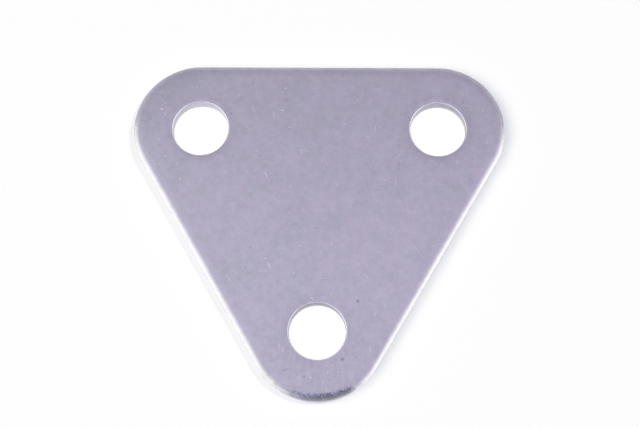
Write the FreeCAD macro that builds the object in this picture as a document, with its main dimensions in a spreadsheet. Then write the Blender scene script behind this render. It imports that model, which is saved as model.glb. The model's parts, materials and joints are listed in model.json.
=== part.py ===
import FreeCAD, Part
import Sketcher
import math
import os

# Backstay plate: a flat triangular link plate for a sailing boat's rigging, blanked from stainless
# sheet, with a pin hole in each rounded corner. It is one piece of metal.
#
# Frame, in millimetres: +Z is out of the top face, +Y points at the side that has two holes, +X
# runs along that side, and the origin lies on the underside, under the middle of the outline.
#
# One press stroke cut the outline and the holes. At each cut the top face rolls over into an
# upright burnished wall. Lower down the metal fractured at a slight lean. At the underside the
# outline was tumbled round, and each hole has a small chamfer.

SIZES = (
    ("hole_spacing", 28.0, "between the centres of any two holes"),
    ("hole_diameter", 6.5, "clear of a quarter inch clevis pin"),
    ("corner_radius", 7.9, "of the outline, about each hole"),
    ("thickness", 1.5, "of the sheet"),
    ("edge_roll_width", 0.8, "of the rolled rim, in from the outline"),
    ("edge_roll_depth", 0.35, "of the rolled rim, down from the top face"),
    ("edge_fracture_height", 0.55, "of the outline's fractured wall, up from the underside"),
    ("edge_fracture_angle", 6.0, "degrees that this wall leans in"),
    ("edge_foot_radius", 0.16, "of the tumbled edge where this wall meets the underside"),
    ("bore_roll_radius", 0.15, "of the rolled rim of each hole"),
    ("bore_fracture_height", 0.6, "of each hole's fractured wall, up from the underside"),
    ("bore_fracture_angle", 5.0, "degrees that this wall leans out"),
    ("bore_foot_chamfer", 0.1, "where this wall meets the underside"),
)

# The three holes stand at the corners of a triangle with equal sides.
CENTROID_TO_ROW = "size.hole_spacing * sqrt(3) / 6"
CENTROID_TO_TIP = "size.hole_spacing * sqrt(3) / 3"
ORIGIN_TO_CENTROID = "size.hole_spacing * sqrt(3) / 12"
ORIGIN_TO_ROW = "size.hole_spacing * sqrt(3) / 4"

HOLES = 3
QUARTER_TURN = math.pi / 2
SIXTH_TURN = math.pi / 3
FULL_TURN = 360.0
UP = FreeCAD.Vector(0, 0, 1)

# How the constraints number an item's ends and centre, and, backwards, the sketch's own axes.
START, END, CENTRE = range(1, 4)
SKETCH_X, SKETCH_Y = range(-1, -3, -1)
SKETCH_ORIGIN = (SKETCH_X, START)


def make_sheet(doc):
    """Put the driving dimensions in a sheet, one named cell each."""
    sheet = doc.addObject("Spreadsheet::Sheet", "size")
    for row, (name, value, note) in enumerate(SIZES, start=1):
        sheet.set(f"A{row}", name)
        sheet.set(f"B{row}", str(value))
        sheet.setAlias(f"B{row}", name)
        sheet.set(f"C{row}", note)
    return sheet


def add_sketch(body, name, role, shift_axis, shift):
    """Add a sketch to one of the body's own origin planes, shifted within it by a formula."""
    sketch = body.newObject("Sketcher::SketchObject", name)
    plane = next(item for item in body.Origin.OriginFeatures if item.Role == role)
    sketch.AttachmentSupport = [(plane, "")]
    sketch.MapMode = "FlatFace"
    sketch.setExpression(".AttachmentOffset.Base." + shift_axis, shift)
    return sketch


def relate(sketch, *relations):
    """Add constraints that have no size."""
    for relation in relations:
        sketch.addConstraint(Sketcher.Constraint(*relation))


def tie(sketch, name, formula, kind, *places):
    """Add a named dimension and tie it to the sheet."""
    value = float(sketch.evalExpression(formula))
    if kind == "Angle":
        value = math.radians(value)
    index = sketch.addConstraint(Sketcher.Constraint(kind, *places, value))
    sketch.renameConstraint(index, name)
    sketch.setExpression("Constraints." + name, formula)


def at(x, y):
    """A point of a sketch."""
    return FreeCAD.Vector(x, y, 0)


def arc(centre, radius, first, last):
    """An arc from one direction to another, anticlockwise."""
    return Part.ArcOfCircle(Part.Circle(centre, UP, radius), first, last)


def draw_outline(body, sheet):
    """Draw three equal arcs about the holes and the straight sides that touch them."""
    outline = add_sketch(body, "outline", "XY_Plane", "y", ORIGIN_TO_CENTROID)
    reach = sheet.hole_spacing / math.sqrt(3)
    corners = []
    for turn in (SIXTH_TURN / 2, SIXTH_TURN * 5 / 2, -QUARTER_TURN):
        centre = at(reach * math.cos(turn), reach * math.sin(turn))
        corner = arc(centre, sheet.corner_radius, turn - SIXTH_TURN, turn + SIXTH_TURN)
        corners.append(outline.addGeometry(corner))
    right, left, tip = corners
    for corner, following in ((right, left), (left, tip), (tip, right)):
        ends = outline.Geometry[corner].EndPoint, outline.Geometry[following].StartPoint
        side = outline.addGeometry(Part.LineSegment(*ends))
        relate(
            outline,
            ("Tangent", corner, END, side, START),
            ("Tangent", side, END, following, START),
        )
    relate(
        outline,
        ("Equal", right, left),
        ("Equal", right, tip),
        ("Symmetric", left, CENTRE, right, CENTRE, SKETCH_Y),
        ("PointOnObject", tip, CENTRE, SKETCH_Y),
    )
    tie(outline, "corner", "size.corner_radius", "Radius", right)
    tie(outline, "row", "size.hole_spacing", "DistanceX", left, CENTRE, right, CENTRE)
    tie(outline, "row_rise", CENTROID_TO_ROW, "DistanceY", *SKETCH_ORIGIN, right, CENTRE)
    tie(outline, "tip_drop", CENTROID_TO_TIP, "DistanceY", tip, CENTRE, *SKETCH_ORIGIN)
    return outline


def draw_wall(sketch, sheet, cut, wall_x, foot_height):
    """Draw a sheared wall with the metal on its left, from below the rim to above the foot.

    It is the upright burnished line and the fractured line, which leans to the metal as it goes
    down. Returns the two lines.
    """
    height = getattr(sheet, cut + "_fracture_height")
    lean = math.radians(getattr(sheet, cut + "_fracture_angle"))
    knee = at(wall_x, height)
    bend = at(wall_x - (height - foot_height) * math.tan(lean), foot_height)
    upright = sketch.addGeometry(Part.LineSegment(at(wall_x, sheet.thickness), knee))
    fractured = sketch.addGeometry(Part.LineSegment(bend, knee))
    relate(sketch, ("Vertical", upright), ("Coincident", upright, END, fractured, END))
    up_to_knee = (*SKETCH_ORIGIN, upright, END)
    tie(sketch, "fracture_height", f"size.{cut}_fracture_height", "DistanceY", *up_to_knee)
    tie(sketch, "fracture_slope", f"90 - size.{cut}_fracture_angle", "Angle", fractured)
    return upright, fractured


def round_foot(sketch, sheet, fractured):
    """Lead the fractured wall into the underside with an arc that touches both."""
    radius = sheet.edge_foot_radius
    bend_x = sketch.Geometry[fractured].StartPoint.x
    foot = sketch.addGeometry(arc(at(bend_x - radius, radius), radius, -QUARTER_TURN, 0))
    relate(
        sketch,
        ("Tangent", fractured, START, foot, END),
        ("Vertical", foot, START, foot, CENTRE),
        ("PointOnObject", foot, START, SKETCH_X),
    )
    tie(sketch, "foot_radius", "size.edge_foot_radius", "Radius", foot)
    return foot


def chamfer_foot(sketch, sheet, fractured):
    """Lead the fractured wall into the underside with a chamfer as wide as it is high."""
    chamfer = sheet.bore_foot_chamfer
    bend_x = sketch.Geometry[fractured].StartPoint.x
    foot = sketch.addGeometry(Part.LineSegment(at(bend_x - chamfer, 0), at(bend_x, chamfer)))
    relate(
        sketch,
        ("Coincident", fractured, START, foot, END),
        ("PointOnObject", foot, START, SKETCH_X),
    )
    tie(sketch, "foot_width", "size.bore_foot_chamfer", "DistanceX", foot, START, foot, END)
    tie(sketch, "foot_height", "size.bore_foot_chamfer", "DistanceY", foot, START, foot, END)
    return foot


def draw_clearance(sketch, sheet, foot, rim, back_x):
    """Close a section round the outside, from the foot of its wall to the top of its rim.

    It runs clear of both faces by the sheet's own thickness. Returns the upright line at the back.
    """
    thickness = sheet.thickness
    foot_x = sketch.Geometry[foot].StartPoint.x
    rim_x = sketch.Geometry[rim].EndPoint.x
    corners = (
        at(foot_x, 0),
        at(foot_x, -thickness),
        at(back_x, -thickness),
        at(back_x, 2 * thickness),
        at(rim_x, 2 * thickness),
        at(rim_x, thickness),
    )
    sides = [
        sketch.addGeometry(Part.LineSegment(start, end))
        for start, end in zip(corners, corners[1:])
    ]
    down, below, back, above, drop = sides
    for side, following in zip(sides, sides[1:]):
        relate(sketch, ("Coincident", side, END, following, START))
    relate(
        sketch,
        ("Vertical", down),
        ("Horizontal", below),
        ("Vertical", back),
        ("Horizontal", above),
        ("Vertical", drop),
        ("Coincident", foot, START, down, START),
        ("Coincident", drop, END, rim, END),
    )
    tie(sketch, "below", "size.thickness", "DistanceY", back, START, *SKETCH_ORIGIN)
    tie(sketch, "above", "2 * size.thickness", "DistanceY", *SKETCH_ORIGIN, back, END)
    return back


def draw_edge(body, sheet):
    """Draw what the press took away outside the outline. The rim is a quarter of an ellipse."""
    width, depth = sheet.edge_roll_width, sheet.edge_roll_depth
    outline_y = ORIGIN_TO_ROW + " + size.corner_radius"
    edge = add_sketch(body, "edge_section", "YZ_Plane", "x", outline_y)
    upright, fractured = draw_wall(edge, sheet, "edge", 0, sheet.edge_foot_radius)
    foot = round_foot(edge, sheet, fractured)
    ellipse = Part.Ellipse(at(-width, sheet.thickness - depth), width, depth)
    rim = edge.addGeometry(Part.ArcOfEllipse(ellipse, 0, QUARTER_TURN))
    edge.exposeInternalGeometry(rim)
    long_axis, short_axis = rim + 1, rim + 2
    back = draw_clearance(edge, sheet, foot, rim, sheet.thickness)
    relate(
        edge,
        ("PointOnObject", upright, START, SKETCH_Y),
        ("Coincident", upright, START, rim, START),
        ("Horizontal", long_axis),
        ("Horizontal", rim, START, rim, CENTRE),
        ("Vertical", rim, END, rim, CENTRE),
    )
    tie(edge, "roll_width", "2 * size.edge_roll_width", "Distance", long_axis)
    tie(edge, "roll_depth", "2 * size.edge_roll_depth", "Distance", short_axis)
    tie(edge, "face", "size.thickness", "DistanceY", *SKETCH_ORIGIN, rim, END)
    tie(edge, "outside", "size.thickness", "DistanceX", *SKETCH_ORIGIN, back, START)
    return edge


def draw_bore(body, sheet):
    """Draw half of the slug that the punch took from the tip's hole, from its axis to the wall."""
    wall_x, roll = -sheet.hole_diameter / 2, sheet.bore_roll_radius
    bore = add_sketch(body, "bore_section", "YZ_Plane", "x", "-" + ORIGIN_TO_ROW)
    upright, fractured = draw_wall(bore, sheet, "bore", wall_x, sheet.bore_foot_chamfer)
    foot = chamfer_foot(bore, sheet, fractured)
    rim = bore.addGeometry(arc(at(wall_x - roll, sheet.thickness - roll), roll, 0, QUARTER_TURN))
    back = draw_clearance(bore, sheet, foot, rim, 0)
    relate(
        bore,
        ("PointOnObject", back, START, SKETCH_Y),
        ("Tangent", upright, START, rim, START),
        ("Vertical", rim, END, rim, CENTRE),
    )
    tie(bore, "roll_radius", "size.bore_roll_radius", "Radius", rim)
    tie(bore, "face", "size.thickness", "DistanceY", *SKETCH_ORIGIN, rim, END)
    tie(bore, "radius", "size.hole_diameter / 2", "DistanceX", upright, START, *SKETCH_ORIGIN)
    return bore


def make_plate(doc, sheet):
    """Blank the sheet, shear its edge all round and punch the three holes."""
    plate = doc.addObject("PartDesign::Body", "backstay_plate")
    outline = draw_outline(plate, sheet)
    blank = plate.newObject("PartDesign::Pad", "blank")
    blank.Profile = outline
    blank.setExpression("Length", "size.thickness")
    doc.recompute()

    sheared_edge = plate.newObject("PartDesign::SubtractivePipe", "sheared_edge")
    sheared_edge.Profile = draw_edge(plate, sheet)
    sheared_edge.Spine = (outline, [f"Edge{number}" for number in range(1, 2 * HOLES + 1)])
    doc.recompute()

    bore = draw_bore(plate, sheet)
    tip_hole = plate.newObject("PartDesign::Groove", "tip_hole")
    tip_hole.Profile = bore
    tip_hole.ReferenceAxis = (bore, ["V_Axis"])
    tip_hole.Angle = FULL_TURN
    doc.recompute()

    holes = plate.newObject("PartDesign::PolarPattern", "holes")
    holes.Originals = [tip_hole]
    holes.Axis = (outline, ["N_Axis"])
    holes.Angle = FULL_TURN
    holes.Occurrences = HOLES
    plate.Tip = holes
    doc.recompute()
    return plate, (blank, sheared_edge, tip_hole, holes)


def check(doc, plate, steps):
    """Stop if anything failed, or if a cut took nothing away."""
    for item in doc.Objects:
        if "Invalid" in item.State or "Error" in item.State:
            raise RuntimeError(f"{item.Label} failed: {item.State}")
    for step, following in zip(steps, steps[1:]):
        if following.Shape.Volume >= step.Shape.Volume:
            raise RuntimeError(f"{following.Label} cuts nothing")
    if plate.Shape.isNull() or not plate.Shape.isValid() or len(plate.Shape.Solids) != 1:
        raise RuntimeError(f"{plate.Label} is not one valid solid")


doc = FreeCAD.newDocument("backstay_plate_model")
sheet = make_sheet(doc)
doc.recompute()
plate, steps = make_plate(doc, sheet)
check(doc, plate, steps)
os.makedirs("parts", exist_ok=True)
plate.Shape.exportStep(f"parts/{plate.Label}.step")
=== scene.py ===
import json
import math
import random
from collections import namedtuple

import bpy
from mathutils import Matrix, Vector
from mathutils.geometry import delaunay_2d_cdt


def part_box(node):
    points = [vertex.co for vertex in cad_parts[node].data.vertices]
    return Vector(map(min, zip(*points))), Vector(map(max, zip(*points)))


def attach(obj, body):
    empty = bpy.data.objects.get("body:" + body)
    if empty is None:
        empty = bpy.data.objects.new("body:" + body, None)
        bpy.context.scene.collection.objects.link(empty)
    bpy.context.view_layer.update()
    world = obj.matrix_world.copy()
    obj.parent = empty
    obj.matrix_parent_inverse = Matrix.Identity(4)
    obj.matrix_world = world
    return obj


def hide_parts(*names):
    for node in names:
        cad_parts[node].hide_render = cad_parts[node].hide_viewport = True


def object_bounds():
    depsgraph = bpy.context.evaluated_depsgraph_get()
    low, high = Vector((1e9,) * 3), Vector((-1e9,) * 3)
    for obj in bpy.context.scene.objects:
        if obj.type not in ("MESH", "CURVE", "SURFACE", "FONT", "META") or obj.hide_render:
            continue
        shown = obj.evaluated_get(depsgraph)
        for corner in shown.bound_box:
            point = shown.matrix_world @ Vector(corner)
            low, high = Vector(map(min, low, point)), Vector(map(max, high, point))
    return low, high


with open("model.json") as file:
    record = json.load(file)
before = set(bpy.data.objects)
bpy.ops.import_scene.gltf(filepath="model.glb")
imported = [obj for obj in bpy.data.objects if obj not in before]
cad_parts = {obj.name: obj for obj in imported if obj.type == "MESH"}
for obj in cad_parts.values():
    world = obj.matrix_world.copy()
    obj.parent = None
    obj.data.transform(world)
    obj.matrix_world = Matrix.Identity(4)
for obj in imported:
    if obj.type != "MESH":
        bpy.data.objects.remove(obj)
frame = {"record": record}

# A backstay plate: a flat triangle of satin stainless sheet with a pin hole in each rounded corner.
# It lies on a white table. +Z is out of its face, and +Y points at the side that has two holes.

NODE = "backstay_plate"
MM = 0.001
QUARTER = math.pi / 2

cad_low, cad_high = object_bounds()
MOUNTS = {mount["name"]: mount for mount in frame["record"]["mounts"]}
BORES = [Vector(MOUNTS[name]["pos_m"][:2]) / MM for name in ("right_bore", "left_bore", "tip_bore")]
RIGHT_BORE = BORES[0]
TIP_BORE = BORES[2]
BORE_RADIUS = MOUNTS["tip_bore"]["dims"]["r_mm"]
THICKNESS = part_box(NODE)[1].z / MM
CORNER_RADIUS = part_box(NODE)[1].x / MM - RIGHT_BORE.x

# Each side runs from one bore to the next, anticlockwise. In degrees, the arc of the right corner
# starts at the first of these angles, and each corner's arc spans the second.
SIDES = list(zip(BORES, BORES[1:] + BORES[:1]))
FIRST_ARC_START = -30
ARC_SPAN = 120

# The sheared edge of the outline, and the wall of each bore, in millimetres and degrees.
EDGE_ROLL_WIDTH = 0.8
EDGE_ROLL_DEPTH = 0.35
EDGE_FRACTURE_HEIGHT = 0.55
EDGE_FRACTURE_ANGLE = 6.0
EDGE_FOOT_RADIUS = 0.16
BORE_ROLL_RADIUS = 0.15
BORE_FRACTURE_HEIGHT = 0.6
BORE_FRACTURE_ANGLE = 5.0
BORE_FOOT_CHAMFER = 0.1

# How finely the surface is divided: the steps of each curve and wall, and in millimetres how far
# apart the points of the face and of the underside are.
ARC_STEPS = 56
SIDE_STEPS = 56
BORE_STEPS = 144
EDGE_ROLL_STEPS = 16
BORE_ROLL_STEPS = 7
WALL_STEPS = 3
FOOT_STEPS = 5
GRID = 0.55
UNDERSIDE_GRID = 2 * GRID

# The triangulation gives all triangles out to the hull, and takes points this close as one.
HULL_TRIANGLES = 0
SAME_POINT = 1e-7

# How far each finish holds at a point. Rim is the tumbled roll of the outline's edge, wall its
# burnished part and fracture the torn part of any cut. Bore is the burnished wall of a bore, darkened
# with painted shade, and burr its brushed corner. The worn finish is where the tip's rim is pitted
# and darkened with a painted dark reflection. Mark is a tone: over 0 a painted glint on a dent and
# under 0 a darker spot, and it also carries the painted tones of the bores' walls, painted shade
# round the face's left corner and painted dark reflection on the tip's edge. Halo is a ring of
# painted shade round a bore, and inset is how far in from the outline a point lies, in millimetres.
FINISHES = ("rim", "wall", "fracture", "bore", "burr", "worn", "mark", "halo", "inset")
Finish = namedtuple("Finish", FINISHES, defaults=[0] * len(FINISHES))

# How far back from the upright wall each finish of a rolled corner starts and is full. Then how
# torn the lower wall of a bore is, how far from a bore its ring of painted shade is strongest, and
# its width.
RIM_STARTS = 0.75
RIM_FULL = 0.2
WALL_STARTS = 0.1
WALL_FULL = 0.03
BORE_TORN = 0.4
BURR_STARTS = 0.01
BURR_FULL = 0.06
HALO_DISTANCE = 0.55
HALO_WIDTH = 0.55

# Where the tip's rim is pitted and darkened with a painted dark reflection. Each stop is an angle
# about the bore, in degrees from straight down, and how strong that is there. Across the rim, it
# starts, is worst, fades and ends this far in.
WORN_AND_DARK_REFLECTION_STOPS = ((-25, 0.0), (-21, 0.65), (-12, 0.8), (-3, 1.0), (12, 1.0), (28, 0.8), (37, 0.0))
WORN_STARTS = 0.93
WORN_WORST = 0.66
WORN_FADES = 0.55
WORN_ENDS = 0.1

# The outermost edge of that stretch is darkened with a painted dark reflection: its tone, and how
# far in it starts and is full.
EDGE_DARK_REFLECTION_TONE = -1.4
EDGE_DARK_REFLECTION_STARTS = 0.4
EDGE_DARK_REFLECTION_FULL = 0.14

# The upright wall is dull about the tip, and partly dull about the other two corners. Each stop
# is an angle about the tip's bore and how dull the wall is there.
DULL_STOPS = (
    (-152, 0.0),
    (-147, 0.6),
    (-138, 0.6),
    (-133, 0.0),
    (-38, 0.0),
    (-28, 1.0),
    (28, 1.0),
    (37, 0.0),
    (135, 0.0),
    (139, 0.7),
    (152, 0.7),
    (158, 0.2),
    (175, 0.0),
)

# These lines are painted darkening: two ends, reach and tone. The rim has one at each end of the
# pitted stretch, which is painted dark reflection, and the face has a faint wide one round its left
# corner, which is painted shade.
RIM_DARK_REFLECTIONS = (
    (Vector((3.15, -18.95)), Vector((3.9, -18.5)), 0.14, -1.7),
    (Vector((-4.64, -18.07)), Vector((-2.82, -19.11)), 0.17, -0.75),
)
FACE_SHADES = ((Vector((-20.7, 13.6)), Vector((-15.6, 18.7)), 1.4, -0.3),)

# How bright the wall of each bore is painted, as a tone: right, left and tip. It is painted shade on
# the right and the tip, and a little painted light on the left.
BORE_SHADE_TONES = (-0.7, 0.15, -1.6)

# The marks that show best on the face: place, length and width in millimetres, direction in
# degrees from +X, and tone as in Finish.
Mark = namedtuple("Mark", "x y length width turn tone")
SHOWN_MARKS = [
    Mark(-18.7, 14.5, 0.30, 0.22, 140, 1.6),
    Mark(-18.3, 13.9, 0.50, 0.10, 125, 0.7),
    Mark(-18.4, 15.3, 0.80, 0.09, 150, 0.4),
    Mark(-18.1, 8.6, 0.18, 0.18, 0, 0.9),
    Mark(-8.6, 12.3, 0.18, 0.18, 0, 0.7),
    Mark(-2.1, -2.2, 0.22, 0.18, 0, 1.0),
    Mark(-1.0, -3.7, 0.18, 0.14, 0, 0.7),
    Mark(0.4, -6.0, 0.15, 0.15, 0, 0.7),
    Mark(0.8, -6.0, 0.15, 0.15, 0, 0.6),
    Mark(-3.9, -6.4, 0.22, 0.18, 0, 1.0),
    Mark(-7.1, -6.3, 0.18, 0.15, 0, 0.8),
    Mark(1.5, -7.9, 0.16, 0.16, 0, 0.7),
    Mark(6.2, -9.0, 0.20, 0.16, 0, 0.8),
    Mark(-4.3, -9.4, 0.18, 0.18, 0, 0.7),
    Mark(-0.6, -8.4, 0.40, 0.12, 110, 0.6),
    Mark(-6.7, -5.2, 0.20, 0.14, 60, 0.6),
    Mark(-0.7, -17.4, 0.24, 0.22, 60, 1.2),
    Mark(-2.6, -17.9, 0.20, 0.16, 0, 0.8),
    Mark(-4.2, -15.5, 0.18, 0.14, 0, 0.7),
    Mark(-6.0, -3.7, 0.24, 0.16, 113, 1.1),
    Mark(-5.6, -4.5, 0.85, 0.14, 113, 0.8),
    Mark(11.4, -2.7, 2.40, 0.09, 122, 0.35),
    Mark(-9.4, -5.4, 1.10, 0.09, 135, 0.5),
    Mark(-10.3, -6.0, 0.90, 0.09, 123, 0.5),
    Mark(-2.8, -5.4, 0.50, 0.12, 91, 0.5),
    Mark(-1.5, -5.3, 0.45, 0.11, 91, 0.4),
    Mark(2.8, -2.1, 0.50, 0.12, 90, 0.4),
    Mark(-3.9, -14.3, 0.50, 0.11, 92, 0.5),
    Mark(-4.7, -14.7, 0.45, 0.11, 80, 0.4),
    Mark(6.0, -14.2, 0.80, 0.10, 90, 0.4),
    Mark(0.7, -18.0, 0.55, 0.10, 90, 0.5),
    Mark(19.3, 14.4, 0.60, 0.10, 89, 0.3),
    Mark(19.8, 10.5, 0.18, 0.16, 0, 0.9),
    Mark(16.2, 8.0, 0.50, 0.10, 89, 0.4),
    Mark(-6.2, 6.4, 0.70, 0.14, 113, 0.7),
    Mark(-4.0, 17.2, 0.24, 0.16, 60, 0.8),
    Mark(-8.4, 11.9, 0.60, 0.12, 178, 0.5),
    Mark(-4.4, 14.4, 0.34, 0.30, 60, 0.6),
    Mark(4.6, -8.6, 0.42, 0.32, 20, -0.9),
    Mark(2.9, -15.3, 0.45, 0.35, 0, -0.8),
    Mark(-1.4, -17.3, 0.30, 0.26, 0, -0.7),
    Mark(17.0, 15.6, 0.22, 0.50, 0, -0.7),
    Mark(-10.4, 14.1, 0.30, 0.24, 0, -0.7),
    Mark(-6.9, 8.8, 0.26, 0.20, 0, -0.6),
]

# The finer nicks and scratches: how many are tried on the whole face, and how many more near the
# tip, below this Y. One that comes too near the rim, a bore or another mark is left out, and the
# probes are the places along it where that is measured.
SCATTER_SEED = 11
SCATTERED = 170
SCATTERED_AT_TIP = 110
TIP_EDGE_Y = -13.0
MARK_FROM_RIM = 1.35
MARK_FROM_BORE = 0.6
MARK_GAP = 0.3
MARK_PROBES = (-1, -0.5, 0, 0.5, 1)

# What share of them are scratches, how wide and long scratches are, how wide nicks are, and how
# many times that they are long. What share run nearly along Y, their direction and its spread.
SCRATCH_SHARE = 0.4
SCRATCH_WIDTHS = (0.07, 0.10)
SCRATCH_LENGTHS = (0.3, 0.9)
NICK_WIDTHS = (0.09, 0.19)
NICK_STRETCHES = (1.0, 1.6)
UPRIGHT_SHARE = 0.5
UPRIGHT_TURN = 91
UPRIGHT_SPREAD = 6
ANY_TURN = (0, 180)
# Tones over 0 are painted glints, and tones under 0 darker spots.
SCATTER_TONES = (0.3, 0.45, 0.6, -0.3, -0.6)

# Each mark is a shallow dent: how wide its skirt is, in millimetres, its floor's width as a share
# of its own, its depth as a share of its shorter side, and its brim's tone as a share of its own.
MARK_SKIRT = 0.06
MARK_FLOOR = 0.45
MARK_SLOPE = 0.07
BRIM_TONE = 0.5
MARK_STEPS = 12
GRID_FROM_MARK = 0.16


def smooth_step(value, start, end):
    """0 at the start, 1 at the end, and smooth between."""
    share = min(1.0, max(0.0, (value - start) / (end - start)))
    return share * share * (3 - 2 * share)


def heading(angle):
    """The unit vector at an angle in radians, anticlockwise from +X."""
    return Vector((math.cos(angle), math.sin(angle)))


def distance_to_line(point, start, end):
    """How far a point lies from the line between two others."""
    run = end - start
    share = min(1.0, max(0.0, (point - start).dot(run) / run.length_squared))
    return (point - start - run * share).length


def distance_to_bore(point):
    """How far a point lies outside the nearest bore."""
    return min((point - centre).length for centre in BORES) - BORE_RADIUS


def face_finish(point):
    """The finish of the flat face: satin, with a ring of painted shade round each bore."""
    from_ring = distance_to_bore(point) - HALO_DISTANCE
    return Finish(halo=math.exp(-((from_ring / HALO_WIDTH) ** 2)))


def inset_of(point):
    """How far in from the outline a point lies, seen from above."""
    gaps, depths = [], []
    for start, end in SIDES:
        run = end - start
        inwards = Vector((-run.y, run.x)).normalized()
        gaps.append(distance_to_line(point, start, end))
        depths.append((point - start).dot(inwards))
    return CORNER_RADIUS + (min(depths) if min(depths) > 0 else -min(gaps))


def about_tip(stops, point):
    """The share that a list of stops gives at a point's angle about the tip's bore."""
    from_tip = point - TIP_BORE
    angle = math.degrees(math.atan2(from_tip.x, -from_tip.y))
    for (start, low), (end, high) in zip(stops, stops[1:]):
        if start <= angle < end:
            return low + (high - low) * (angle - start) / (end - start)
    return 0.0


def worn_and_dark_reflection_across(inset):
    """How far the tip's rim is pitted and darkened with a painted dark reflection, across the rim."""
    return smooth_step(inset, WORN_STARTS, WORN_WORST) * smooth_step(inset, WORN_ENDS, WORN_FADES)


def painted_dark_lines(dark_lines, point):
    """The tone of a list of painted dark lines at a point, seen from above."""
    total = 0.0
    for start, end, reach, tone in dark_lines:
        total += tone * math.exp(-((distance_to_line(point, start, end) / reach) ** 2))
    return total


def outline_ring(inset):
    """Points of the outline, moved inwards: three arcs about the bores and the sides between."""
    radius = CORNER_RADIUS - inset
    points = []
    for corner, (centre, next_centre) in enumerate(SIDES):
        first = FIRST_ARC_START + ARC_SPAN * corner
        for step in range(ARC_STEPS):
            angle = math.radians(first + ARC_SPAN * step / ARC_STEPS)
            points.append(centre + radius * heading(angle))
        start = centre + radius * heading(math.radians(first + ARC_SPAN))
        run = next_centre - centre
        points.extend(start + run * step / SIDE_STEPS for step in range(SIDE_STEPS))
    return points


def bore_ring(centre, radius):
    """Points of a circle about a bore."""
    return [centre + radius * heading(math.tau * step / BORE_STEPS) for step in range(BORE_STEPS)]


def roll_section(width, depth, steps):
    """Setback and height down a rolled corner, which is a quarter of an ellipse.

    The setback is how far the metal has drawn back from the upright wall.
    """
    for step in range(1, steps + 1):
        angle = QUARTER * (1 - step / steps)
        yield width * (1 - math.cos(angle)), THICKNESS - depth * (1 - math.sin(angle))


def wall_section(top, knee, lean, bottom):
    """Setback and height down an upright wall and the leaning wall below its knee."""
    slope = math.tan(math.radians(lean))
    upright = [(0, top + (knee - top) * step / WALL_STEPS) for step in range(1, WALL_STEPS + 1)]
    leaning = []
    for step in range(1, WALL_STEPS + 1):
        height = knee + (bottom - knee) * step / WALL_STEPS
        leaning.append(((knee - height) * slope, height))
    return upright, leaning


def edge_section():
    """Setback, height and finish of the outline's edge, from the face down to the underside."""
    roll = []
    for setback, height in roll_section(EDGE_ROLL_WIDTH, EDGE_ROLL_DEPTH, EDGE_ROLL_STEPS):
        rim = smooth_step(setback, RIM_STARTS, RIM_FULL)
        wall = smooth_step(setback, WALL_STARTS, WALL_FULL)
        roll.append((setback, height, Finish(rim=rim, wall=wall)))
    lean = math.radians(EDGE_FRACTURE_ANGLE)
    bend = EDGE_FOOT_RADIUS * (1 - math.sin(lean))
    top = THICKNESS - EDGE_ROLL_DEPTH
    upright, leaning = wall_section(top, EDGE_FRACTURE_HEIGHT, EDGE_FRACTURE_ANGLE, bend)
    centre = leaning[-1][0] + EDGE_FOOT_RADIUS * math.cos(lean)
    foot = []
    for step in range(1, FOOT_STEPS + 1):
        angle = lean + (QUARTER - lean) * step / FOOT_STEPS
        setback = centre - EDGE_FOOT_RADIUS * math.cos(angle)
        foot.append((setback, EDGE_FOOT_RADIUS * (1 - math.sin(angle)), Finish(rim=1)))
    return (
        [(EDGE_ROLL_WIDTH, THICKNESS, Finish())]
        + roll
        + [(*point, Finish(rim=1, wall=1)) for point in upright]
        + [(*point, Finish(fracture=1)) for point in leaning]
        + foot
    )


def bore_section():
    """Setback, height and finish of a bore's wall, from the face down to the underside."""
    roll = []
    for setback, height in roll_section(BORE_ROLL_RADIUS, BORE_ROLL_RADIUS, BORE_ROLL_STEPS):
        burr = smooth_step(setback, BURR_STARTS, BURR_FULL)
        roll.append((setback, height, Finish(burr=burr, bore=1 - burr)))
    top = THICKNESS - BORE_ROLL_RADIUS
    upright, leaning = wall_section(
        top, BORE_FRACTURE_HEIGHT, BORE_FRACTURE_ANGLE, BORE_FOOT_CHAMFER
    )
    foot = (leaning[-1][0] + BORE_FOOT_CHAMFER, 0.0, Finish(rim=1))
    face_edge = RIGHT_BORE + Vector((BORE_RADIUS + BORE_ROLL_RADIUS, 0))
    return (
        [(BORE_ROLL_RADIUS, THICKNESS, face_finish(face_edge))]
        + roll
        + [(*point, Finish(bore=1)) for point in upright]
        + [(*point, Finish(bore=1, fracture=BORE_TORN)) for point in leaning]
        + [foot]
    )


def inside(point, rim_inset, bore_clearance):
    """True for a point that is clear of the outline's rim and of the bores."""
    return distance_to_bore(point) >= bore_clearance and inset_of(point) >= rim_inset


def grid_points(spacing, rim_inset, bore_clearance):
    """A grid of equal triangles, half a spacing clear of the rim and of the bores."""
    points = []
    margin = spacing / 2
    rise = spacing * math.sqrt(3) / 2
    rows = range(math.floor(cad_low.y / MM / rise), math.ceil(cad_high.y / MM / rise) + 1)
    columns = range(math.floor(cad_low.x / MM / spacing), math.ceil(cad_high.x / MM / spacing) + 1)
    for row in rows:
        for column in columns:
            point = Vector(((column + 0.5 * (row % 2)) * spacing, row * rise))
            if inside(point, rim_inset + margin, bore_clearance + margin):
                points.append(point)
    return points


def mark_distance(mark, point):
    """How far a point lies from a mark's edge, roughly. It is under 0 inside the mark."""
    along = heading(math.radians(mark.turn))
    offset = point - Vector((mark.x, mark.y))
    half = max(0.0, (mark.length - mark.width) / 2)
    reach = max(-half, min(half, offset.dot(along)))
    return (offset - along * reach).length - mark.width / 2


def mark_spot(draw, high_y):
    """A random spot of the face, up to this Y, clear of the rim and the bores."""
    while True:
        x = draw.uniform(cad_low.x / MM, cad_high.x / MM)
        spot = Vector((x, draw.uniform(cad_low.y / MM, high_y)))
        if inside(spot, MARK_FROM_RIM, MARK_FROM_BORE):
            return spot


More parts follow.
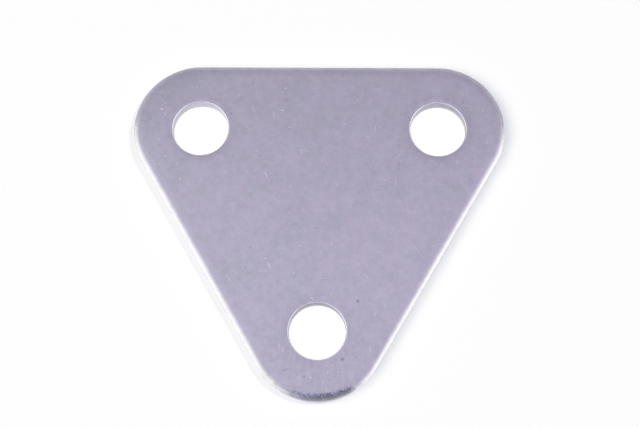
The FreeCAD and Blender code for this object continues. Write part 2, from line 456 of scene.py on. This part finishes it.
def scattered_mark(draw, high_y):
    """A random scratch or nick, up to this Y."""
    spot = mark_spot(draw, high_y)
    scratch = draw.random() < SCRATCH_SHARE
    width = draw.uniform(*(SCRATCH_WIDTHS if scratch else NICK_WIDTHS))
    length = draw.uniform(*SCRATCH_LENGTHS) if scratch else width * draw.uniform(*NICK_STRETCHES)
    upright = draw.random() < UPRIGHT_SHARE
    turn = draw.gauss(UPRIGHT_TURN, UPRIGHT_SPREAD) if upright else draw.uniform(*ANY_TURN)
    return Mark(spot.x, spot.y, length, width, turn, draw.choice(SCATTER_TONES))


def has_room(mark, others):
    """True for a mark that is clear of the rim, of the bores and of other marks."""
    end = heading(math.radians(mark.turn)) * mark.length / 2
    line = [Vector((mark.x, mark.y)) + end * share for share in MARK_PROBES]
    room = min(mark_distance(other, point) for other in others for point in line)
    return room > MARK_GAP and all(inside(point, MARK_FROM_RIM, MARK_FROM_BORE) for point in line)


def all_marks():
    """The marks that show best, and finer ones scattered clear of them and of each other."""
    draw = random.Random(SCATTER_SEED)
    marks = list(SHOWN_MARKS)
    for at in range(SCATTERED + SCATTERED_AT_TIP):
        mark = scattered_mark(draw, cad_high.y / MM if at < SCATTERED else TIP_EDGE_Y)
        if has_room(mark, marks):
            marks.append(mark)
    return marks


def mark_rings(mark):
    """Rings of a dent: a skirt and a brim level with the face, and the dent's floor.

    Each ring is its points, its depth and its finish.
    """
    along = heading(math.radians(mark.turn))
    across = Vector((-along.y, along.x))
    spot = Vector((mark.x, mark.y))
    half_length, half_width = mark.length / 2, mark.width / 2
    floor_length = half_length * (1 - MARK_FLOOR * mark.width / mark.length)
    depth = MARK_SLOPE * min(mark.width, mark.length)
    halo = face_finish(spot).halo
    # The brim and floor carry the mark's tone, a painted glint where it is over 0.
    rings = (
        (half_length + MARK_SKIRT, half_width + MARK_SKIRT, 0, Finish(halo=halo)),
        (half_length, half_width, 0, Finish(mark=BRIM_TONE * mark.tone, halo=halo)),
        (floor_length, MARK_FLOOR * half_width, depth, Finish(mark=mark.tone, halo=halo)),
    )
    for long, wide, drop, finish in rings:
        points = []
        for step in range(MARK_STEPS):
            angle = math.tau * step / MARK_STEPS
            points.append(spot + along * long * math.cos(angle) + across * wide * math.sin(angle))
        yield points, drop, finish


class Skin:
    """The plate's surface as it is put together: points in millimetres, faces and finishes."""

    def __init__(self):
        self.points = []
        self.finish = []
        self.faces = []

    def add_points(self, flat_points, height, finish):
        """Add points at one height, and return their numbers."""
        first = len(self.points)
        self.points.extend((x, y, height) for x, y in flat_points)
        for point in flat_points:
            inset = inset_of(point)
            along_tip = about_tip(WORN_AND_DARK_REFLECTION_STOPS, point)
            # Painted dark reflection on the tip's edge and rim, and painted shade round the face's left
            # corner.
            edge_tone = EDGE_DARK_REFLECTION_TONE * along_tip * smooth_step(inset, EDGE_DARK_REFLECTION_STARTS, EDGE_DARK_REFLECTION_FULL)
            rim_tone = finish.rim * (painted_dark_lines(RIM_DARK_REFLECTIONS, point) + edge_tone)
            self.finish.append(
                finish._replace(
                    inset=inset,
                    wall=finish.wall * (1 - about_tip(DULL_STOPS, point)),
                    worn=along_tip * worn_and_dark_reflection_across(inset),
                    mark=finish.mark + rim_tone + painted_dark_lines(FACE_SHADES, point),
                )
            )
        return list(range(first, len(self.points)))

    def bridge(self, upper, lower):
        """Join two rings of equal length. The upper one runs anticlockwise round the metal."""
        for at, number in enumerate(upper):
            following = (at + 1) % len(upper)
            self.faces.append((number, lower[at], lower[following], upper[following]))

    def fill(self, borders, inner_rings, loose, upwards):
        """Fill a face with triangles: inside its border rings, and through its other points.

        No triangle spans a single border, so none covers a bore or lies outside the outline.
        """
        rings = borders + inner_rings
        numbers = [number for ring in rings for number in ring]
        owner = [at if at < len(borders) else None for at, ring in enumerate(rings) for _ in ring]
        fences = []
        for ring in rings:
            first = fences[-1][0] + 1 if fences else 0
            last = first + len(ring) - 1
            fences.extend((at, at + 1) for at in range(first, last))
            fences.append((last, first))
        numbers += loose
        owner += [None] * len(loose)
        flat = [Vector(self.points[number][:2]) for number in numbers]
        _, _, triangles, origins, _, _ = delaunay_2d_cdt(flat, fences, [], HULL_TRIANGLES, SAME_POINT)
        for triangle in triangles:
            corners = [origins[corner][0] for corner in triangle]
            owners = {owner[corner] for corner in corners}
            if len(owners) > 1 or None in owners:
                corners = [numbers[corner] for corner in corners]
                self.faces.append(tuple(corners if upwards else reversed(corners)))


def make_skin():
    """Build the rolled, sheared and tumbled edge, the bores and the two faces."""
    skin = Skin()
    edge = [
        skin.add_points(outline_ring(setback), height, finish)
        for setback, height, finish in edge_section()
    ]
    for upper, lower in zip(edge, edge[1:]):
        skin.bridge(upper, lower)
    tops, bottoms = [], []
    # Each bore's wall carries its painted shade as a tone.
    for centre, tone in zip(BORES, BORE_SHADE_TONES):
        wall = []
        for setback, height, finish in bore_section():
            ring = bore_ring(centre, BORE_RADIUS + setback)
            wall.append(skin.add_points(ring, height, finish._replace(mark=tone * finish.bore)))
        for upper, lower in zip(wall, wall[1:]):
            skin.bridge(list(reversed(upper)), list(reversed(lower)))
        tops.append(wall[0])
        bottoms.append(wall[-1])

    marks = all_marks()
    dents = []
    for mark in marks:
        for points, depth, finish in mark_rings(mark):
            dents.append(skin.add_points(points, THICKNESS - depth, finish))
    loose = []
    for point in grid_points(GRID, EDGE_ROLL_WIDTH, BORE_ROLL_RADIUS):
        if min(mark_distance(mark, point) for mark in marks) > GRID_FROM_MARK:
            loose += skin.add_points([point], THICKNESS, face_finish(point))
    skin.fill([edge[0], *tops], dents, loose, True)

    under = grid_points(UNDERSIDE_GRID, edge_section()[-1][0], bore_section()[-1][0])
    skin.fill([edge[-1], *bottoms], [], skin.add_points(under, 0.0, Finish()), False)
    return skin


def make_plate(skin):
    """Turn the skin into the piece that stands for the CAD plate."""
    mesh = bpy.data.meshes.new("satin_plate")
    mesh.from_pydata([Vector(point) * MM for point in skin.points], [], skin.faces)
    mesh.validate()
    mesh.polygons.foreach_set("use_smooth", [True] * len(mesh.polygons))
    for name in FINISHES:
        layer = mesh.attributes.new(name, "FLOAT", "POINT")
        layer.data.foreach_set("value", [getattr(finish, name) for finish in skin.finish])
    plate = bpy.data.objects.new("satin_plate", mesh)
    bpy.context.scene.collection.objects.link(plate)
    return plate


# The metal's colours and how dull each finish is.
SATIN_COLOUR = (0.433, 0.426, 0.528, 1)
SATIN_PURPLE = (0.441, 0.410, 0.528, 1)
RIM_COLOUR = (0.59, 0.58, 0.655, 1)
WALL_COLOUR = (0.88, 0.87, 0.90, 1)
# The bores' walls are darkened with painted shade.
BORE_SHADED_COLOUR = (0.37, 0.355, 0.45, 1)
# The tip's pitted rim is darkened with a painted dark reflection.
WORN_DARK_REFLECTION_COLOUR = (0.33, 0.34, 0.45, 1)
BURR_COLOUR = (0.76, 0.75, 0.83, 1)
FRACTURE_COLOUR = (0.70, 0.69, 0.74, 1)
SATIN_ROUGHNESS = 0.28
RIM_ROUGHNESS = 0.23
BURR_ROUGHNESS = 0.45
WALL_ROUGHNESS = 0.12
BORE_ROUGHNESS = 0.26
FRACTURE_ROUGHNESS = 0.32
MARK_ROUGHNESS = 0.24

# Its texture is noise: how many spots go in a millimetre, how far finer detail is added, and how
# strong that is. Cloud, mottle and grain vary the brightness, from coarse to fine, and patch the
# colour. The pits are those of the tip's roughened rim.
Noise = namedtuple("Noise", "scale detail roughness")
CLOUD = Noise(0.30, 3.0, 0.5)
MOTTLE = Noise(1.1, 2.0, 0.5)
PATCH = Noise(0.3, 5.0, 0.7)
GRAIN = Noise(3.2, 3.0, 0.6)
TIP_GRAIN = Noise(2.2, 3.0, 0.6)
PITS = Noise(6.0, 2.0, 0.6)
HAIRLINE = Noise(1.0, 1.0, 0.5)

# These draw the noise out: the grain along Z, and the tip's grain and pits along Y.
GRAIN_STRETCH = (1, 1, 0.08)
TIP_STRETCH = (1, 0.35, 1)

# Where the noise of the purplish patches starts and fills them, and where along Y the tip's own
# grain starts and is full, in millimetres.
PATCH_FROM = -0.2
PATCH_FULL = 0.2
TIP_GRAIN_FROM = -6.0
TIP_GRAIN_FULL = -16.0

# Hairlines are noise that is turned by each of these angles, in degrees, shifted as far again each
# time, and stretched. They start and are full at these levels of it.
HAIRLINE_TURNS = (8, 52, 97, 141)
HAIRLINE_SHIFT = Vector((7.0, 3.0, 0.0))
HAIRLINE_STRETCH = (0.5, 7.0, 0.5)
HAIRLINE_FROM = 0.64
HAIRLINE_FULL = 0.78

# The pitted rim and its painted dark reflection have a ragged border. So much of the pits' noise is
# added to how far they hold, and the sum starts and fills it. It fades out where they hold less
# than the last value.
WORN_RAGGED = 1.3
WORN_FROM = 0.2
WORN_FULL = 0.7
WORN_FADE = 0.2

# How much each part adds to the brightness.
CLOUD_SHARE = 0.17
MOTTLE_SHARE = 0.21
GRAIN_SHARE = 0.18
TIP_GRAIN_SHARE = 0.22
HAIRLINE_SHARE = 0.08
# Marks carry painted glints, and the painted shade and dark reflections laid into them.
MARK_SHARE = 0.32
PITS_SHARE = 3.4
# The ring round each bore is painted shade.
HALO_SHARE = -0.06

# Its relief, in millimetres, and the soft shoulder of the face: how far in from the outline that
# starts and is full, and how deep it is.
FACE_RELIEF = 0.0012
RIM_RELIEF = 0.02
WALL_RELIEF = 0.001
FRACTURE_RELIEF = 0.012
WORN_RELIEF = 0.03
SHOULDER_FROM = 1.3
SHOULDER_FULL = 0.5
SHOULDER_DROP = 0.017


def add(tree, kind, inputs=None, **settings):
    """Add a node, set it up, and link or set its inputs by name or number."""
    node = tree.nodes.new(kind)
    for name, value in settings.items():
        setattr(node, name, value)
    for key, value in (inputs or {}).items():
        if isinstance(value, bpy.types.NodeSocket):
            tree.links.new(value, node.inputs[key])
        else:
            node.inputs[key].default_value = value
    return node


def calculate(tree, operation, *values):
    """Work out a number from others, each a value or a socket."""
    return add(tree, "ShaderNodeMath", dict(enumerate(values)), operation=operation).outputs[0]


def ease(tree, value, start, end):
    """0 at the start, 1 at the end, and smooth between."""
    inputs = {"Value": value, "From Min": start, "From Max": end}
    node = add(tree, "ShaderNodeMapRange", inputs, interpolation_type="SMOOTHSTEP")
    return node.outputs[0]


# A Mix node has its numbers at inputs 2 and 3 and output 0, and its colours at 6, 7 and output 2.
def mix_number(tree, share, first, second):
    """Blend two numbers, each a value or a socket."""
    return add(tree, "ShaderNodeMix", {0: share, 2: first, 3: second}).outputs[0]


def mix_colour(tree, share, first, second):
    """Blend two colours, each a value or a socket."""
    return add(tree, "ShaderNodeMix", {0: share, 6: first, 7: second}, data_type="RGBA").outputs[2]


def lay_over(tree, mix, base, layers):
    """Lay values over a base one after another, each as far as its share holds."""
    for share, value in layers:
        base = mix(tree, share, base, value)
    return base


def multiply_parts(tree, first, second):
    """Multiply two colours or vectors part by part, each a value or a socket."""
    return add(tree, "ShaderNodeVectorMath", {0: first, 1: second}, operation="MULTIPLY").outputs[0]


def scale_parts(tree, parts, factor):
    """Multiply each part of a colour or vector by one number."""
    return add(tree, "ShaderNodeVectorMath", {0: parts, "Scale": factor}, operation="SCALE").outputs[0]


def noise_level(tree, place, kind):
    """Noise from 0 to 1, from a place in millimetres."""
    inputs = {"Vector": place, "Scale": kind.scale, "Detail": kind.detail, "Roughness": kind.roughness}
    return add(tree, "ShaderNodeTexNoise", inputs).outputs[0]


def noise(tree, place, kind):
    """Noise about 0, from a place in millimetres."""
    return calculate(tree, "SUBTRACT", noise_level(tree, place, kind), 0.5)


def hairlines(tree, place):
    """Short fine scratches in a few directions, 1 along a scratch and 0 between."""
    total = 0.0
    for at, turn in enumerate(HAIRLINE_TURNS):
        moves = {"Vector": place, "Location": HAIRLINE_SHIFT * at, "Rotation": (0, 0, math.radians(turn))}
        turned = add(tree, "ShaderNodeMapping", moves).outputs[0]
        level = noise_level(tree, multiply_parts(tree, turned, HAIRLINE_STRETCH), HAIRLINE)
        line = ease(tree, level, HAIRLINE_FROM, HAIRLINE_FULL)
        total = calculate(tree, "MAXIMUM", total, line)
    return total


def pitting_and_dark_reflection(tree, pits, worn):
    """How far the tip's rim is pitted and darkened with a painted dark reflection, with a ragged border.
    """
    ragged = calculate(tree, "MULTIPLY_ADD", pits, WORN_RAGGED, worn)
    within = ease(tree, worn, 0.0, WORN_FADE)
    return calculate(tree, "MULTIPLY", ease(tree, ragged, WORN_FROM, WORN_FULL), within)


def metal_colour(tree, place, share, pits_and_dark_reflection):
    """The metal's colour: purplish satin patches, each finish over them, painted shade and dark
    reflection.
    """
    purple = ease(tree, noise(tree, place, PATCH), PATCH_FROM, PATCH_FULL)
    satin = mix_colour(tree, purple, SATIN_COLOUR, SATIN_PURPLE)
    layers = (
        (share["rim"], RIM_COLOUR),
        (share["wall"], WALL_COLOUR),
        (share["bore"], BORE_SHADED_COLOUR),
        (pits_and_dark_reflection, WORN_DARK_REFLECTION_COLOUR),
        (share["burr"], BURR_COLOUR),
        (share["fracture"], FRACTURE_COLOUR),
    )
    return lay_over(tree, mix_colour, satin, layers)


def metal_brightness(tree, place, share, grain, pits, pits_and_dark_reflection):
    """How bright texture, the marks' painted glints, painted shade and dark reflection make the metal."""
    along = add(tree, "ShaderNodeSeparateXYZ", {"Vector": place}).outputs["Y"]
    near_tip = ease(tree, along, TIP_GRAIN_FROM, TIP_GRAIN_FULL)
    tip_grain = noise(tree, multiply_parts(tree, place, TIP_STRETCH), TIP_GRAIN)
    brightness = 1.0
    for part, amount in (
        (noise(tree, place, CLOUD), CLOUD_SHARE),
        (noise(tree, place, MOTTLE), MOTTLE_SHARE),
        (grain, GRAIN_SHARE),
        (calculate(tree, "MULTIPLY", tip_grain, near_tip), TIP_GRAIN_SHARE),
        (hairlines(tree, place), HAIRLINE_SHARE),
        (share["mark"], MARK_SHARE),
        (calculate(tree, "MULTIPLY", pits, pits_and_dark_reflection), PITS_SHARE),
        (share["halo"], HALO_SHARE),
    ):
        brightness = calculate(tree, "MULTIPLY_ADD", part, amount, brightness)
    return brightness


def metal_roughness(tree, share):
    """How dull the metal is: each finish laid over the satin face."""
    layers = (
        (share["rim"], RIM_ROUGHNESS),
        (share["wall"], WALL_ROUGHNESS),
        (share["bore"], BORE_ROUGHNESS),
        (share["burr"], BURR_ROUGHNESS),
        (share["fracture"], FRACTURE_ROUGHNESS),
        (share["mark"], MARK_ROUGHNESS),
    )
    return lay_over(tree, mix_number, SATIN_ROUGHNESS, layers)


def metal_normal(tree, share, grain, pits, pits_and_dark_reflection):
    """The metal's relief: the grain, the roughened rim's pits and the soft shoulder of the face."""
    layers = (
        (share["rim"], RIM_RELIEF),
        (share["wall"], WALL_RELIEF),
        (share["fracture"], FRACTURE_RELIEF),
    )
    height = calculate(tree, "MULTIPLY", grain, lay_over(tree, mix_number, FACE_RELIEF, layers))
    pitted = calculate(tree, "MULTIPLY", pits_and_dark_reflection, WORN_RELIEF)
    height = calculate(tree, "MULTIPLY_ADD", pits, pitted, height)
    shoulder = ease(tree, share["inset"], SHOULDER_FROM, SHOULDER_FULL)
    height = calculate(tree, "MULTIPLY_ADD", shoulder, -SHOULDER_DROP, height)
    return add(tree, "ShaderNodeBump", {"Height": height, "Distance": MM, "Strength": 1.0}).outputs[0]


def stainless():
    """Tumbled satin stainless steel, with grain, hairlines, marks with painted glints and a pitted rim.

    The bores' walls and the face's left corner carry painted shade, and the tip's rim a painted dark
    reflection.
    """
    material = bpy.data.materials.new("stainless")
    material.use_nodes = True
    tree = material.node_tree
    shader = tree.nodes["Principled BSDF"]
    shader.inputs["Metallic"].default_value = 1.0
    share = {}
    for name in FINISHES:
        share[name] = add(tree, "ShaderNodeAttribute", attribute_name=name).outputs["Fac"]
    place = scale_parts(tree, add(tree, "ShaderNodeTexCoord").outputs["Object"], 1 / MM)
    grain = noise(tree, multiply_parts(tree, place, GRAIN_STRETCH), GRAIN)
    pits = noise(tree, multiply_parts(tree, place, TIP_STRETCH), PITS)
    pits_and_dark_reflection = pitting_and_dark_reflection(tree, pits, share["worn"])
    colour = metal_colour(tree, place, share, pits_and_dark_reflection)
    brightness = metal_brightness(tree, place, share, grain, pits, pits_and_dark_reflection)
    tree.links.new(scale_parts(tree, colour, brightness), shader.inputs["Base Color"])
    tree.links.new(metal_roughness(tree, share), shader.inputs["Roughness"])
    tree.links.new(metal_normal(tree, share, grain, pits, pits_and_dark_reflection), shader.inputs["Normal"])
    return material


# The table: its colour, how it glows, and how it glows inside the bores. Its size and how far it
# lies under the plate are in metres. The world's level lights it evenly.
FLOOR_COLOUR = (0.625, 0.61, 0.50, 1)
FLOOR_GLOW = (0.343, 0.358, 0.48, 1)
BORE_GLOW = (0.70, 0.71, 0.78, 1)
FLOOR_SIZE = 3.0
FLOOR_GAP = 0.01 * MM
DISC_GAP = 0.005 * MM
WORLD_LEVEL = 0.1
WHITE = (1, 1, 1, 1)

# The white tent that the metal mirrors. Each stop is how far back a direction points, from 0 in
# front to 1 behind, and the tent's level there.
TENT_STOPS = (
    (0.0, 0.9),
    (0.4, 1.18),
    (0.56, 1.19),
    (0.6, 1.19),
    (0.64, 1.13),
    (0.665, 0.905),
    (0.69, 0.71),
    (0.72, 0.67),
    (0.76, 0.685),
    (0.82, 0.73),
    (0.88, 0.70),
    (0.94, 0.69),
    (1.0, 0.73),
)

# Its tint on each side, and how much brighter it is low on each side.
LEFT_TINT = (1.05, 1.045, 1.07, 1)
RIGHT_TINT = (1.0, 0.955, 1.01, 1)
LEFT_RISE = (1.42, 1.42, 1.24, 1)
RIGHT_RISE = (1.50, 1.55, 1.32, 1)

# Where those hold: each share starts at the first value and is full at the second. Across is how
# far right a direction points, from -1 to 1, and back is how far back, from -1 in front to 1.
RIGHT_ACROSS = (-0.25, 0.12)
LEFT_RISE_ACROSS = (0.0, -0.8)
RIGHT_RISE_ACROSS = (0.25, 0.85)
LEFT_RISE_BACK = (0.6, 0.25)
RIGHT_RISE_BACK = (0.5, -0.05)
RISE_FRONT = (-0.74, -0.56)

# The dark front: its colour, its azimuth, how far aside of that it starts and is full, and how far
# back it starts and is full, and starts and is full again from below.
DARK_FRONT = (0.27, 0.274, 0.345, 1)
DARK_AZIMUTH = math.radians(8)
DARK_ASIDE = (math.radians(42), math.radians(26))
DARK_BACK = (0.12, -0.05)
DARK_LOW = (-0.9, -0.45)

# The softly dark spot round the direction of the viewpoint, how far it reaches and how dark it is.
SPOT_DIRECTION = (0.014, -0.28, 0.96)
SPOT_REACH = 0.62
SPOT_SHARE = 0.45

# The lamps, which light the table and don't show in the metal: azimuth (0 in front, 90 on the
# right) and elevation in degrees, width and height in metres, and share of the table's light.
LAMP_DISTANCE = 2.0
LAMPS = (
    ("overhead", 180, 79, 1.6, 1.6, 0.04),
    ("left_lamp", -72, 50, 2.2, 1.5, 0.76),
    ("right_lamp", 106, 58, 0.45, 0.45, 0.31),
)

# The camera: its focal length in pixels of a picture 640 wide, its sensor in millimetres, where it
# looks and from how far in metres, its angles in degrees, and the nearest that it sees.
PICTURE_WIDTH = 640
FOCAL_PIXELS = 1406.28
SENSOR_WIDTH = 36
CAMERA_AIM = Vector((0.181, 2.17, 0.0)) * MM
CAMERA_DISTANCE = 164.45 * MM
CAMERA_AZIMUTH = 2.758
CAMERA_ELEVATION = 73.713
CAMERA_ROLL = -2.332
CLIP_START = 0.01


def table_material(name, glow):
    """A white table that keeps the plate's shadow, and glows to the camera and in the metal."""
    material = bpy.data.materials.new(name)
    material.use_nodes = True
    tree = material.node_tree
    tree.nodes.clear()
    path = add(tree, "ShaderNodeLightPath").outputs
    seen = calculate(tree, "MAXIMUM", path["Is Camera Ray"], path["Is Glossy Ray"])
    diffuse = add(tree, "ShaderNodeBsdfDiffuse", {"Color": FLOOR_COLOUR})
    glowing = add(tree, "ShaderNodeEmission", {"Color": glow, "Strength": seen})
    both = add(tree, "ShaderNodeAddShader", {0: diffuse.outputs[0], 1: glowing.outputs[0]})
    add(tree, "ShaderNodeOutputMaterial", {"Surface": both.outputs[0]})
    return material


def make_sheet(name, corners, height, glow):
    """A flat sheet of the table."""
    mesh = bpy.data.meshes.new(name)
    mesh.from_pydata([(x, y, height) for x, y in corners], [], [range(len(corners))])
    mesh.materials.append(table_material(name, glow))
    sheet = bpy.data.objects.new(name, mesh)
    bpy.context.scene.collection.objects.link(sheet)


def make_table():
    """A plain table top, just clear of the plate's underside, and whiter where a bore shows it."""
    half = FLOOR_SIZE / 2
    corners = [(-half, -half), (half, -half), (half, half), (-half, half)]
    make_sheet("table", corners, cad_low.z - FLOOR_GAP, FLOOR_GLOW)
    for at, centre in enumerate(BORES):
        ring = [point * MM for point in bore_ring(centre, BORE_RADIUS)]
        make_sheet(f"table_in_bore_{at + 1}", ring, cad_low.z - DISC_GAP, BORE_GLOW)


def ramp(tree, source, stops):
    """A ramp of grey levels, given as pairs of position and level."""
    node = add(tree, "ShaderNodeValToRGB", {"Fac": source})
    elements = node.color_ramp.elements
    while len(elements) < len(stops):
        elements.new(0.5)
    for element, (position, level) in zip(elements, stops):
        element.position = position
        element.color = (level, level, level, 1)
    return node.outputs["Color"]


def side_rise(tree, across, back, on_right):
    """How far the tent is brighter, low on its two sides."""
    on_left_side = ease(tree, across, *LEFT_RISE_ACROSS)
    on_right_side = ease(tree, across, *RIGHT_RISE_ACROSS)
    sideways = calculate(tree, "MAXIMUM", on_left_side, on_right_side)
    behind_left = ease(tree, back, *LEFT_RISE_BACK)
    behind_right = ease(tree, back, *RIGHT_RISE_BACK)
    not_behind = mix_number(tree, on_right, behind_left, behind_right)
    between = calculate(tree, "MULTIPLY", not_behind, ease(tree, back, *RISE_FRONT))
    return calculate(tree, "MULTIPLY", sideways, between)


def dark_front(tree, across, back):
    """How dark the front of the tent is."""
    azimuth = calculate(tree, "ARCTAN2", across, calculate(tree, "MULTIPLY", back, -1.0))
    aside = calculate(tree, "ABSOLUTE", calculate(tree, "SUBTRACT", azimuth, DARK_AZIMUTH))
    dark = ease(tree, aside, *DARK_ASIDE)
    for stretch in (DARK_BACK, DARK_LOW):
        dark = calculate(tree, "MULTIPLY", dark, ease(tree, back, *stretch))
    return dark


def dark_spot(tree, direction):
    """How dark the spot round the direction of the viewpoint is."""
    inputs = {0: direction, 1: SPOT_DIRECTION}
    off = add(tree, "ShaderNodeVectorMath", inputs, operation="DISTANCE").outputs["Value"]
    return calculate(tree, "MULTIPLY", ease(tree, off, SPOT_REACH, 0.0), SPOT_SHARE)


def mirrored_tent(tree):
    """The colour that the metal mirrors in each direction.

    The tent is dimmer to the back and brighter low on its two sides. It is dark in front, where it
    is open. It is softly dark round the direction of the viewpoint.
    """
    direction = add(tree, "ShaderNodeTexCoord").outputs["Generated"]
    parts = add(tree, "ShaderNodeSeparateXYZ", {"Vector": direction}).outputs
    across, back = parts["X"], parts["Y"]
    on_right = ease(tree, across, *RIGHT_ACROSS)
    level = ramp(tree, calculate(tree, "MULTIPLY_ADD", back, 0.5, 0.5), TENT_STOPS)
    tint = mix_colour(tree, on_right, LEFT_TINT, RIGHT_TINT)
    side_colour = mix_colour(tree, on_right, LEFT_RISE, RIGHT_RISE)
    rise = mix_colour(tree, side_rise(tree, across, back, on_right), WHITE, side_colour)
    tent = multiply_parts(tree, multiply_parts(tree, level, tint), rise)
    dark = calculate(tree, "MAXIMUM", dark_front(tree, across, back), dark_spot(tree, direction))
    return mix_colour(tree, dark, tent, DARK_FRONT)


def make_world():
    """White for the camera, a plain level for the floor, and the tent for the metal."""
    world = bpy.data.worlds.new("tent")
    bpy.context.scene.world = world
    world.use_nodes = True
    tree = world.node_tree
    tree.nodes.clear()
    path = add(tree, "ShaderNodeLightPath").outputs
    mirrored = calculate(tree, "MAXIMUM", path["Is Glossy Ray"], path["Is Transmission Ray"])
    plain = add(tree, "ShaderNodeBackground", {"Color": WHITE, "Strength": WORLD_LEVEL})
    white = add(tree, "ShaderNodeBackground", {"Color": WHITE, "Strength": 1.0})
    tent = add(tree, "ShaderNodeBackground", {"Color": mirrored_tent(tree), "Strength": 1.0})
    lit = add(tree, "ShaderNodeMixShader", {0: mirrored, 1: plain.outputs[0], 2: tent.outputs[0]})
    seen = add(
        tree,
        "ShaderNodeMixShader",
        {0: path["Is Camera Ray"], 1: lit.outputs[0], 2: white.outputs[0]},
    )
    add(tree, "ShaderNodeOutputWorld", {"Surface": seen.outputs[0]})


def direction_to(azimuth, elevation):
    """The direction of an azimuth, 0 in front and 90 on the right, and an elevation, in degrees."""
    turn, rise = math.radians(azimuth), math.radians(elevation)
    return Vector((math.sin(turn) * math.cos(rise), -math.cos(turn) * math.cos(rise), math.sin(rise)))


def make_lamp(name, azimuth, elevation, width, height, share):
    """A rectangular lamp that faces the plate and gives the table a share of its light."""
    lamp = bpy.data.lights.new(name, "AREA")
    lamp.shape = "RECTANGLE"
    lamp.size, lamp.size_y = width, height
    # At this power, a level surface at the plate shows this share of its own colour.
    lamp.energy = share * (math.pi * LAMP_DISTANCE) ** 2 / math.sin(math.radians(elevation))
    box = bpy.data.objects.new(name, lamp)
    bpy.context.scene.collection.objects.link(box)
    away = direction_to(azimuth, elevation)
    box.location = away * LAMP_DISTANCE
    box.rotation_euler = away.to_track_quat("Z", "Y").to_euler()
    box.visible_camera = False
    box.visible_glossy = False


def make_camera():
    """The photograph's viewpoint, above the plate and a little in front of it."""
    data = bpy.data.cameras.new("camera")
    data.sensor_width = SENSOR_WIDTH
    data.lens = FOCAL_PIXELS / PICTURE_WIDTH * SENSOR_WIDTH
    data.clip_start = CLIP_START
    camera = bpy.data.objects.new("camera", data)
    bpy.context.scene.collection.objects.link(camera)
    back = direction_to(CAMERA_AZIMUTH, CAMERA_ELEVATION)
    right = Vector((0, 0, 1)).cross(back).normalized()
    up = back.cross(right)
    roll = math.radians(CAMERA_ROLL)
    rolled_right = right * math.cos(roll) + up * math.sin(roll)
    rolled_up = up * math.cos(roll) - right * math.sin(roll)
    axes = Matrix((rolled_right, rolled_up, back)).transposed().to_4x4()
    camera.matrix_world = Matrix.Translation(CAMERA_AIM + back * CAMERA_DISTANCE) @ axes
    bpy.context.scene.camera = camera


plate = make_plate(make_skin())
plate.data.materials.append(stainless())
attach(plate, "root")
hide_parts(NODE)
make_table()
make_world()
for lamp in LAMPS:
    make_lamp(*lamp)
make_camera()
bpy.context.scene.view_settings.view_transform = "Standard"
